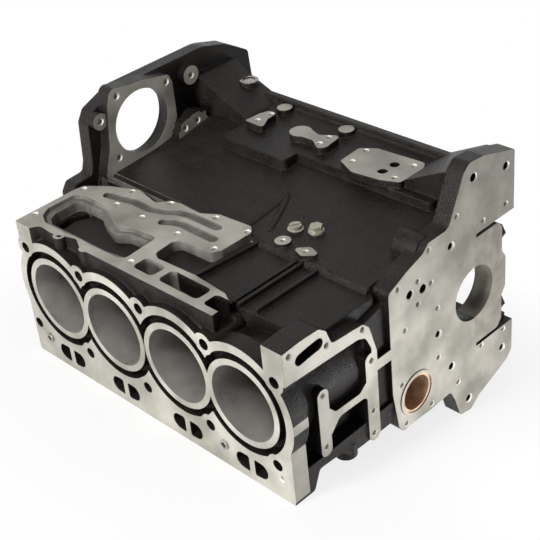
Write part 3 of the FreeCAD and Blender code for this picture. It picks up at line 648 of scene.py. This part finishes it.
@dataclass(frozen=True)
class Drilling:
    """Every tapped hole of the casting that the screws of its covers and brackets go into."""

    groups: tuple[HoleGroup, ...] = (
        # oil cooler face
        HoleGroup(
            UP,
            across_top(
                COOLER_Z,
                (-479, 27),
                (-478, 108),
                (-409, 108),
                (-418, 143),
                (-351, 153),
                (-276, 163),
                (-219, 163),
                (-356, 107),
                (-288, 107),
                (-224, 111),
                (-286, 29),
            ),
            depth=5.0,
        ),
        # mount pads on the crankcase
        HoleGroup(
            UP,
            across_top(
                130.0,
                (-194, 361),
                (-190, 329),
                (-118, 365),
                (-118, 327),
                (-376, 342),
                (-373, 366),
                (-260, 361),
                (-258, 341),
            ),
        ),
        # bosses beside the water jacket
        HoleGroup(
            UP,
            across_top(95.0, (-170, 176), (-130, 174)),
            radius=3.2,
            countersink=0.6,
            depth=6.0,
        ),
        # front end, around the timing cover
        HoleGroup(
            FORWARD,
            across_end(
                0.0,
                (398, 99),
                (300, 128),
                (352, 97),
                (247, 108),
                (190, 84),
                (226, 76),
                (250, 61),
                (225, 44),
                (261, 18),
                (200, 20),
                (261, -57),
                (300, -120),
                (349, -90),
                (396, -91),
                (191, -57),
                (245, -81),
                (246, -121),
                (197, -121),
                (10, 96),
                (68, 77),
                (127, 64),
                (56, 13),
                (56, -62),
                (139, 13),
                (138, -62),
                (137, -96),
            ),
        ),
        # auxiliary drive flange
        HoleGroup(
            FORWARD,
            across_end(-485.0, (191, 197), (278, 184), (179, 109)),
            radius=4.0,
            depth=9.0,
        ),
        # bosses of the gear case's wall
        HoleGroup(
            FORWARD, across_end(-491.0, (163, 169), (329, 173)), radius=4.0, depth=9.0
        ),
        # countersunk rims of the large holes in the front end, bright from the drilled finish's
        # painted highlight
        HoleGroup(
            FORWARD,
            across_end(
                0.0,
                (333, 166),
                (398, 152),
                (322, -161),
                (289, 92),
                (262, -22),
                (287, -87),
                (394, -121),
                (235, 61),
                (211, 65),
            ),
            radius=4.4,
            depth=2.4,
            countersink=2.3,
        ),
        # head deck
        HoleGroup(TO_DECK, ((-21.0, DECK_Y, -84.0),), depth=10.0),
    )

    def cut(self, piece: bpy.types.Object, shop: FinishShop) -> None:
        """Drill all the holes into the casting.

        Args:
            piece: The casting.
            shop: Where the materials come from.
        """
        work = bmesh.new()
        for group in self.groups:
            group.add_to(work)
        bmesh.ops.remove_doubles(work, verts=work.verts, dist=MERGE_MM)
        bmesh.ops.recalc_face_normals(work, faces=work.faces)
        bmesh.ops.transform(work, matrix=to_row_frame(), verts=work.verts)
        # every drilled face takes the drilled finish, with its painted highlight, down to the
        # holes' bottoms
        for face in work.faces:
            face.material_index = CASTING_METALS.index(Metal.DRILLED_IRON)
        drills = make_piece("drills", work, CASTING_METALS, shop)
        cut = piece.modifiers.new("drilled", "BOOLEAN")
        cut.operation = "DIFFERENCE"
        cut.solver = "MANIFOLD"
        cut.object = drills
        graph = bpy.context.evaluated_depsgraph_get()
        drilled = bpy.data.meshes.new_from_object(piece.evaluated_get(graph))
        piece.modifiers.clear()
        piece.data = drilled
        bpy.data.objects.remove(drills)
        LOG.info("drilled: %d faces", len(drilled.polygons))


@dataclass
class BlockCasting:
    """The cylinder block and crankcase, with its machined faces bare and the rest painted.

    The sizes are millimetres in engine axes.
    """

    node: str = "block"
    deck_y: float = DECK_Y
    rail_y: float = 81.0
    front_x: tuple[float, ...] = (0.0, 1.5)
    drive_x: tuple[float, ...] = (-479.0, -485.0, -491.0, -495.0)
    case_x: float = -525.0
    deck_end_x: float = -3.4
    deck_end_depth: float = 60.0
    cooler_z: float = COOLER_Z
    channel_z: float = 90.0
    pad_z: float = 130.0
    boss_z: tuple[float, ...] = (95.0, 149.0)
    pocket_low: tuple[float, float] = (-482.0, -312.0)
    pocket_high: tuple[float, float] = (-208.0, -166.0)
    pocket_depth: float = 22.0
    pocket_wall: float = 0.4
    cylinder_x: tuple[float, ...] = (-74.5, -187.5, -306.5, -419.5)
    bore_radius: float = 50.5
    main_radius: float = 38.0
    tolerance: float = 0.3
    merge_mm: float = 0.002
    flat_degrees: float = 0.4

    def build(self, frame: dict[str, Any], shop: FinishShop) -> bpy.types.Object:
        """Make a clean copy of the casting's mesh, drill it and dress it face by face.

        Args:
            frame: The loaded frame.
            shop: Where the materials come from.

        Returns:
            The piece that replaces the casting's node.
        """
        work = bmesh.new()
        work.from_mesh(frame["nodes"][self.node].data)
        bmesh.ops.remove_doubles(work, verts=work.verts, dist=millimetres(self.merge_mm))
        bmesh.ops.dissolve_limit(
            work,
            angle_limit=math.radians(self.flat_degrees),
            verts=work.verts,
            edges=work.edges,
        )
        turn = to_engine_axes()
        for face in work.faces:
            middle = turn @ face.calc_center_median() / MM
            normal = turn.to_3x3() @ face.normal
            face.material_index = CASTING_METALS.index(self.metal_of(middle, normal))
        piece = make_piece("block_casting", work, CASTING_METALS, shop)
        Drilling().cut(piece, shop)
        keep_edges_crisp(piece.data)
        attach(piece, "root")
        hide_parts(self.node)
        LOG.info("%s: %d faces", piece.name, len(piece.data.polygons))
        return piece

    def metal_of(self, middle: Vector, normal: Vector) -> Metal:
        """Finish of one face of the casting.

        Args:
            middle: The face's centre in engine axes, in millimetres.
            normal: Its outward direction in engine axes.

        Returns:
            Milled on the machined faces, honed in the bores, bare inside the cooler's pocket and
            painted elsewhere.
        """
        if self.is_bored(middle, normal):
            return Metal.HONED_IRON
        faces = [
            (-normal.y, middle.y - self.deck_y),
            (normal.y, middle.y - self.rail_y),
            (-normal.x, middle.x - self.case_x),
            (normal.z, middle.z - self.cooler_z),
            (normal.z, middle.z - self.pad_z),
        ]
        faces += [(normal.x, middle.x - level) for level in self.front_x + self.drive_x]
        faces += [(normal.z, middle.z - level) for level in self.boss_z]
        for facing, distance in faces:
            if facing > ALONG and abs(distance) < self.tolerance:
                return Metal.MILLED_IRON
        at_deck_end = middle.x > self.deck_end_x and middle.y < below_deck(self.deck_end_depth)
        if normal.x > ALONG and at_deck_end:
            return Metal.MILLED_IRON
        if self.is_in_pocket(middle, normal):
            return Metal.BARE_CAST_IRON
        return Metal.PAINTED_IRON

    def is_in_pocket(self, middle: Vector, normal: Vector) -> bool:
        """True on the walls of the cooler's pocket and channels, and on the channels' floors."""
        if not self.pocket_low[0] < middle.x < self.pocket_high[0]:
            return False
        if not self.pocket_low[1] < middle.y < self.pocket_high[1]:
            return False
        if middle.z > self.cooler_z or middle.z < self.cooler_z - self.pocket_depth:
            return False
        return abs(normal.z) < self.pocket_wall or abs(middle.z - self.channel_z) < self.tolerance

    def is_bored(self, middle: Vector, normal: Vector) -> bool:
        """True on the walls of the cylinder bores and of the main bearing line."""
        for x in self.cylinder_x:
            from_axis = math.hypot(middle.x - x, middle.z)
            if abs(normal.y) < ACROSS and abs(from_axis - self.bore_radius) < self.tolerance:
                return True
        from_axis = math.hypot(middle.y, middle.z)
        return abs(normal.x) < ACROSS and abs(from_axis - self.main_radius) < self.tolerance


@dataclass(frozen=True)
class RimBoss:
    """Screw boss that bulges from the cooler face's rim, in millimetres in engine axes."""

    name: str
    place: tuple[float, float, float]
    radius: float = 8.5
    height: float = 26.0
    hole_radius: float = 3.4
    hole_depth: float = 5.0
    countersink: float = 1.1
    proud: float = 0.05
    foot_chamfer: float = 2.0
    sides: int = 48
    metals: tuple[Metal, ...] = (Metal.PAINTED_IRON, Metal.MILLED_IRON, Metal.DRILLED_IRON)

    def profile(self) -> list[Vector]:
        """Half section, from the bottom of the hole out to the foot of the boss."""
        return [
            Vector((0.0, 0.0, -self.hole_depth)),
            Vector((self.hole_radius, 0.0, -self.hole_depth)),
            Vector((self.hole_radius, 0.0, -self.countersink)),
            Vector((self.hole_radius + self.countersink, 0.0, self.proud)),
            Vector((self.radius, 0.0, self.proud)),
            Vector((self.radius, 0.0, -self.height + self.foot_chamfer)),
            Vector((self.radius - self.foot_chamfer, 0.0, -self.height)),
            Vector((0.0, 0.0, -self.height)),
        ]

    def build(self, shop: FinishShop) -> bpy.types.Object:
        """Turn the boss and set it on the rim.

        Args:
            shop: Where the materials come from.

        Returns:
            The boss's piece.
        """
        work = bmesh.new()
        spin_profile(work, self.profile(), self.sides)
        bmesh.ops.remove_doubles(work, verts=work.verts, dist=MERGE_MM)
        bmesh.ops.recalc_face_normals(work, faces=work.faces)
        for face in work.faces:
            metal = self.metal_of(face.calc_center_median().xy.length, face.normal.z)
            face.material_index = self.metals.index(metal)
        placed = to_row_frame() @ Matrix.Translation(self.place)
        bmesh.ops.transform(work, matrix=placed, verts=work.verts)
        piece = make_piece(self.name, work, self.metals, shop)
        add_to_casting(piece)
        return piece

    def metal_of(self, from_axis: float, upward: float) -> Metal:
        """Finish of one face of the boss.

        Args:
            from_axis: How far the face's centre lies from the boss's axis.
            upward: Share of its normal that points up.

        Returns:
            Milled on top, drilled in the hole and painted elsewhere.
        """
        if upward > MOSTLY_ALONG and from_axis > self.hole_radius:
            return Metal.MILLED_IRON
        if from_axis < self.hole_radius + self.countersink and upward >= -MOSTLY_ALONG:
            return Metal.DRILLED_IRON
        return Metal.PAINTED_IRON


@dataclass(frozen=True)
class LiftingLug:
    """Faced lug with two screw holes on the gear case's wall, in millimetres in engine axes."""

    name: str = "lifting_lug"
    outline: tuple[tuple[float, float], ...] = (
        (276, 84),
        (276, 116),
        (298, 126),
        (324, 128),
        (335, 118),
        (332, 84),
    )
    wall_x: float = -503.5
    face_x: float = -470.0
    corner: float = 7.0
    corner_segments: int = 5
    holes: HoleGroup = HoleGroup(
        FORWARD, across_end(-470.0, (289, 112), (313, 115)), radius=3.8
    )

    def build(self, shop: FinishShop) -> bpy.types.Object:
        """Make the lug, drill it and seat it on the wall.

        Args:
            shop: Where the materials come from.

        Returns:
            The lug's piece.
        """
        work = bmesh.new()
        verts = [work.verts.new(place) for place in across_end(self.wall_x, *self.outline)]
        foot = work.faces.new(verts)
        raised = bmesh.ops.extrude_face_region(work, geom=[foot], use_keep_orig=True)["geom"]
        top = [item for item in raised if isinstance(item, bmesh.types.BMVert)]
        bmesh.ops.translate(work, verts=top, vec=(self.face_x - self.wall_x, 0, 0))
        upright = [edge for edge in work.edges if edge.verts[0].co.x != edge.verts[1].co.x]
        bmesh.ops.bevel(
            work,
            geom=upright,
            offset=self.corner,
            segments=self.corner_segments,
            affect="EDGES",
        )
        bmesh.ops.recalc_face_normals(work, faces=work.faces)
        for face in work.faces:
            metal = Metal.MILLED_IRON if face.normal.x > ALONG else Metal.PAINTED_IRON
            face.material_index = CASTING_METALS.index(metal)
        bmesh.ops.transform(work, matrix=to_row_frame(), verts=work.verts)
        piece = make_piece(self.name, work, CASTING_METALS, shop)
        Drilling((self.holes,)).cut(piece, shop)
        add_to_casting(piece)
        return piece


@dataclass(frozen=True)
class CastRidge:
    """Low rounded ridge that runs across the casting's skin, in millimetres in engine axes."""

    name: str
    points: tuple[tuple[float, float], ...]
    radius: float = 6.0
    sunk: float = 3.2
    step: float = 5.0
    from_z: float = 128.0
    sides: int = 16
    end_share: float = 0.8

    def path(self, skin: BVHTree) -> list[Vector]:
        """Points of the ridge's middle line, laid on the skin below it.

        Args:
            skin: The casting's surface, in metres in the row frame.

        Returns:
            Points in engine axes, in millimetres.
        """
        turn = to_engine_axes()
        back = turn.inverted()
        down = back.to_3x3() @ Vector((0, 0, -1))
        laid = []
        for (x0, depth0), (x1, depth1) in zip(self.points, self.points[1:]):
            steps = max(2, round(math.hypot(x1 - x0, depth1 - depth0) / self.step))
            for number in range(steps + 1):
                share = number / steps
                x = x0 + (x1 - x0) * share
                y = below_deck(depth0 + (depth1 - depth0) * share)
                start = back @ (Vector((x, y, self.from_z)) * MM)
                hit = skin.ray_cast(start, down)[0]
                if hit is not None:
                    laid.append(Vector((x, y, (turn @ hit).z / MM - self.sunk)))
        return laid

    def build(self, casting: bpy.types.Object, shop: FinishShop) -> bpy.types.Object:
        """Make the ridge and seat it on the casting.

        Args:
            casting: The piece that it stands on.
            shop: Where the materials come from.

        Returns:
            The ridge's piece.
        """
        surface = bmesh.new()
        surface.from_mesh(casting.data)
        skin = BVHTree.FromBMesh(surface)
        surface.free()
        path = self.path(skin)
        work = bmesh.new()
        before: list[bmesh.types.BMEdge] = []
        for number, point in enumerate(path):
            ahead = path[min(number + 1, len(path) - 1)] - path[max(number - 1, 0)]
            turn = Vector(UP).rotation_difference(ahead).to_matrix().to_4x4()
            at_end = number in (0, len(path) - 1)
            ring = bmesh.ops.create_circle(
                work,
                cap_ends=at_end,
                segments=self.sides,
                radius=self.radius * (self.end_share if at_end else 1.0),
                matrix=Matrix.Translation(point) @ turn,
            )["verts"]
            edges = list({edge for vert in ring for edge in vert.link_edges})
            if before:
                bmesh.ops.bridge_loops(work, edges=before + edges)
            before = edges
        bmesh.ops.recalc_face_normals(work, faces=work.faces)
        bmesh.ops.transform(work, matrix=to_row_frame(), verts=work.verts)
        piece = make_piece(self.name, work, (Metal.PAINTED_IRON,), shop)
        add_to_casting(piece)
        LOG.info("%s: %d points", self.name, len(path))
        return piece


@dataclass
class SkinDetails:
    """Raised lines beside the cooler, screw bosses on its rim, and the lug by the drive flange."""

    ridges: tuple[CastRidge, ...] = (
        CastRidge("skin_ridge_1", ((-234, 172), (-240, 259))),
        CastRidge("skin_ridge_2", ((-204, 187), (-219, 219), (-238, 256))),
    )
    bosses: tuple[RimBoss, ...] = (
        RimBoss("rim_boss_1", (-408.0, below_deck(13), COOLER_Z)),
        RimBoss("rim_boss_2", (-356.0, below_deck(14), COOLER_Z)),
    )

    def build(self, casting: bpy.types.Object, shop: FinishShop) -> None:
        """Make every raised line, the rim bosses and the lug.

        Args:
            casting: The piece that they stand on.
            shop: Where the materials come from.
        """
        for ridge in self.ridges:
            ridge.build(casting, shop)
        for boss in self.bosses:
            boss.build(shop)
        LiftingLug().build(shop)


@dataclass
class SmallParts:
    """The caps, bolts, bush, dowels and plugs, which keep their CAD meshes."""

    finishes: tuple[tuple[str, Metal], ...] = (
        ("main_cap", Metal.CAP_IRON),
        ("cap_bolts", Metal.BOLT_STEEL),
        ("cam_bush", Metal.BRONZE),
        ("deck_dowel", Metal.BARE_STEEL),
        ("core_plug", Metal.BARE_STEEL),
        ("hex_plug", Metal.ZINC),
        ("slotted_plug", Metal.ZINC),
    )

    def dress(self, frame: dict[str, Any], shop: FinishShop) -> None:
        """Give every small part its finish.

        Args:
            frame: The loaded frame.
            shop: Where the materials come from.
        """
        for name, piece in frame["nodes"].items():
            for start, metal in self.finishes:
                if name.startswith(start):
                    shop.dress(piece, metal)
                    LOG.info("%s: %s", name, metal.value.name)


# --- studio ----------------------------------------------------------------------------------


@dataclass(frozen=True)
class SoftLight:
    """A square lamp that points at the middle of the block and isn't seen itself."""

    name: str
    place: tuple[float, float, float]
    size: float
    power: float

    def build(self, target: Vector) -> None:
        """Hang the lamp.

        Args:
            target: The point that it faces.
        """
        lamp = bpy.data.lights.new(self.name, "AREA")
        lamp.shape = "SQUARE"
        lamp.size = self.size
        lamp.energy = self.power
        holder = bpy.data.objects.new(self.name, lamp)
        holder.location = self.place
        holder.rotation_mode = "QUATERNION"
        holder.rotation_quaternion = (Vector(self.place) - target).to_track_quat("Z", "Y")
        holder.visible_camera = False
        bpy.context.scene.collection.objects.link(holder)


@dataclass
class Studio:
    """White floor, soft lamps and the camera."""

    camera_place: tuple[float, float, float] = (0.7881, -1.2049, 0.6776)
    camera_forward: tuple[float, float, float] = (-0.62313, 0.65772, -0.42322)
    camera_roll: float = math.radians(3.27)
    lens_mm: float = 83.8
    sensor_mm: float = 36.0
    floor_size: float = 12.0
    fill: float = 0.1
    # the floor is partly white next to the block and all white from the second distance on
    fade_m: tuple[float, float] = (0.2, 0.55)
    fade_share: tuple[float, float] = (0.72, 1.0)
    lamps: tuple[SoftLight, ...] = (
        SoftLight("deck_light", (-0.1, -2.3, -0.05), 0.9, 72.0),
        SoftLight("bore_light", (-0.1, -1.9, 1.25), 0.3, 30.0),
        SoftLight("plate_light", (0.27, -0.04, -0.168), 0.12, 1.6),
    )

    def build(self, low: Vector, high: Vector) -> None:
        """Set up floor, world, lamps and camera.

        Args:
            low: Lowest corner of the block's box.
            high: Its highest corner.
        """
        middle = (low + high) / 2
        self.build_floor(middle, low.z)
        self.build_world()
        for lamp in self.lamps:
            lamp.build(middle)
        self.build_camera()

    def seen_white(self, tree: bpy.types.NodeTree, shader: bpy.types.Node) -> bpy.types.Node:
        """Mix plain white into a shader for camera, glossy and transmission rays.

        Args:
            tree: The node tree.
            shader: The node that answers every other ray.

        Returns:
            The mixing node.
        """
        seen = self.seen_by(tree)
        white = add_node(tree, "ShaderNodeBackground", {"Color": (1, 1, 1, 1), "Strength": 1.0})
        return add_node(
            tree, "ShaderNodeMixShader", {0: seen, 1: shader.outputs[0], 2: white.outputs[0]}
        )

    def seen_by(self, tree: bpy.types.NodeTree) -> bpy.types.NodeSocket:
        """Value that is 1 for camera, glossy and transmission rays, and 0 for the rest.

        Args:
            tree: The node tree.

        Returns:
            The value's socket.
        """
        path = add_node(tree, "ShaderNodeLightPath")
        either = add_node(
            tree,
            "ShaderNodeMath",
            {0: path.outputs["Is Camera Ray"], 1: path.outputs["Is Glossy Ray"]},
            operation="MAXIMUM",
        )
        seen = add_node(
            tree,
            "ShaderNodeMath",
            {0: either.outputs["Value"], 1: path.outputs["Is Transmission Ray"]},
            operation="MAXIMUM",
        )
        return seen.outputs["Value"]

    def build_world(self) -> None:
        """White surroundings that light the block softly."""
        world = bpy.data.worlds.new("studio_white")
        bpy.context.scene.world = world
        world.use_nodes = True
        tree = world.node_tree
        tree.nodes.clear()
        fill = add_node(
            tree, "ShaderNodeBackground", {"Color": linear("f4f5f6"), "Strength": self.fill}
        )
        mixed = self.seen_white(tree, fill)
        add_node(tree, "ShaderNodeOutputWorld", {"Surface": mixed.outputs[0]})

    def build_floor(self, middle: Vector, level: float) -> None:
        """Lay the pale floor under the block.

        Args:
            middle: Middle of the block's box.
            level: Height of its lowest point.
        """
        work = bmesh.new()
        bmesh.ops.create_grid(work, x_segments=1, y_segments=1, size=self.floor_size / 2)
        bmesh.ops.translate(work, verts=work.verts, vec=(middle.x, middle.y, level))
        mesh = bpy.data.meshes.new("studio_floor")
        work.to_mesh(mesh)
        work.free()
        floor = bpy.data.objects.new("studio_floor", mesh)
        bpy.context.scene.collection.objects.link(floor)
        mesh.materials.append(self.floor_material(middle))
        floor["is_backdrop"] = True

    def floor_material(self, middle: Vector) -> bpy.types.Material:
        """Matt white paper that fades into the white surroundings away from the block.

        Args:
            middle: Middle of the block's box.

        Returns:
            The floor's material.
        """
        material = bpy.data.materials.new("white_paper")
        material.use_nodes = True
        tree = material.node_tree
        shader = tree.nodes["Principled BSDF"]
        shader.inputs["Base Color"].default_value = linear("fafafa")
        shader.inputs["Roughness"].default_value = 0.9
        place = add_node(tree, "ShaderNodeTexCoord")
        from_middle = add_node(
            tree,
            "ShaderNodeVectorMath",
            {0: place.outputs["Object"], 1: (middle.x, middle.y, 0.0)},
            operation="DISTANCE",
        )
        fade = add_node(
            tree,
            "ShaderNodeMapRange",
            {
                "Value": from_middle.outputs["Value"],
                "From Min": self.fade_m[0],
                "From Max": self.fade_m[1],
                "To Min": self.fade_share[0],
                "To Max": self.fade_share[1],
            },
        )
        white = add_node(tree, "ShaderNodeEmission", {"Color": (1, 1, 1, 1), "Strength": 1.0})
        faded = add_node(
            tree,
            "ShaderNodeMixShader",
            {0: fade.outputs["Result"], 1: shader.outputs[0], 2: white.outputs[0]},
        )
        seen = self.seen_by(tree)
        mixed = add_node(
            tree, "ShaderNodeMixShader", {0: seen, 1: shader.outputs[0], 2: faded.outputs[0]}
        )
        tree.links.new(mixed.outputs[0], tree.nodes["Material Output"].inputs["Surface"])
        return material

    def build_camera(self) -> None:
        """Place the camera and make it the scene's."""
        lens = bpy.data.cameras.new("camera")
        lens.lens = self.lens_mm
        lens.sensor_width = self.sensor_mm
        camera = bpy.data.objects.new("camera", lens)
        camera.location = self.camera_place
        camera.rotation_mode = "QUATERNION"
        level = Vector(self.camera_forward).to_track_quat("-Z", "Y")
        camera.rotation_quaternion = level @ Quaternion((0, 0, 1), self.camera_roll)
        bpy.context.scene.collection.objects.link(camera)
        bpy.context.scene.camera = camera


def main() -> None:
    """Build the dressed engine block and its studio."""
    logging.basicConfig(level=logging.INFO)
    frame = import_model()
    cad_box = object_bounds()
    bpy.context.scene.view_settings.view_transform = "Standard"
    shop = FinishShop()
    casting = BlockCasting().build(frame, shop)
    SkinDetails().build(casting, shop)
    SmallParts().dress(frame, shop)
    Studio().build(*cad_box)
    LOG.info("sizes written")


if __name__ == "__main__":
    main()
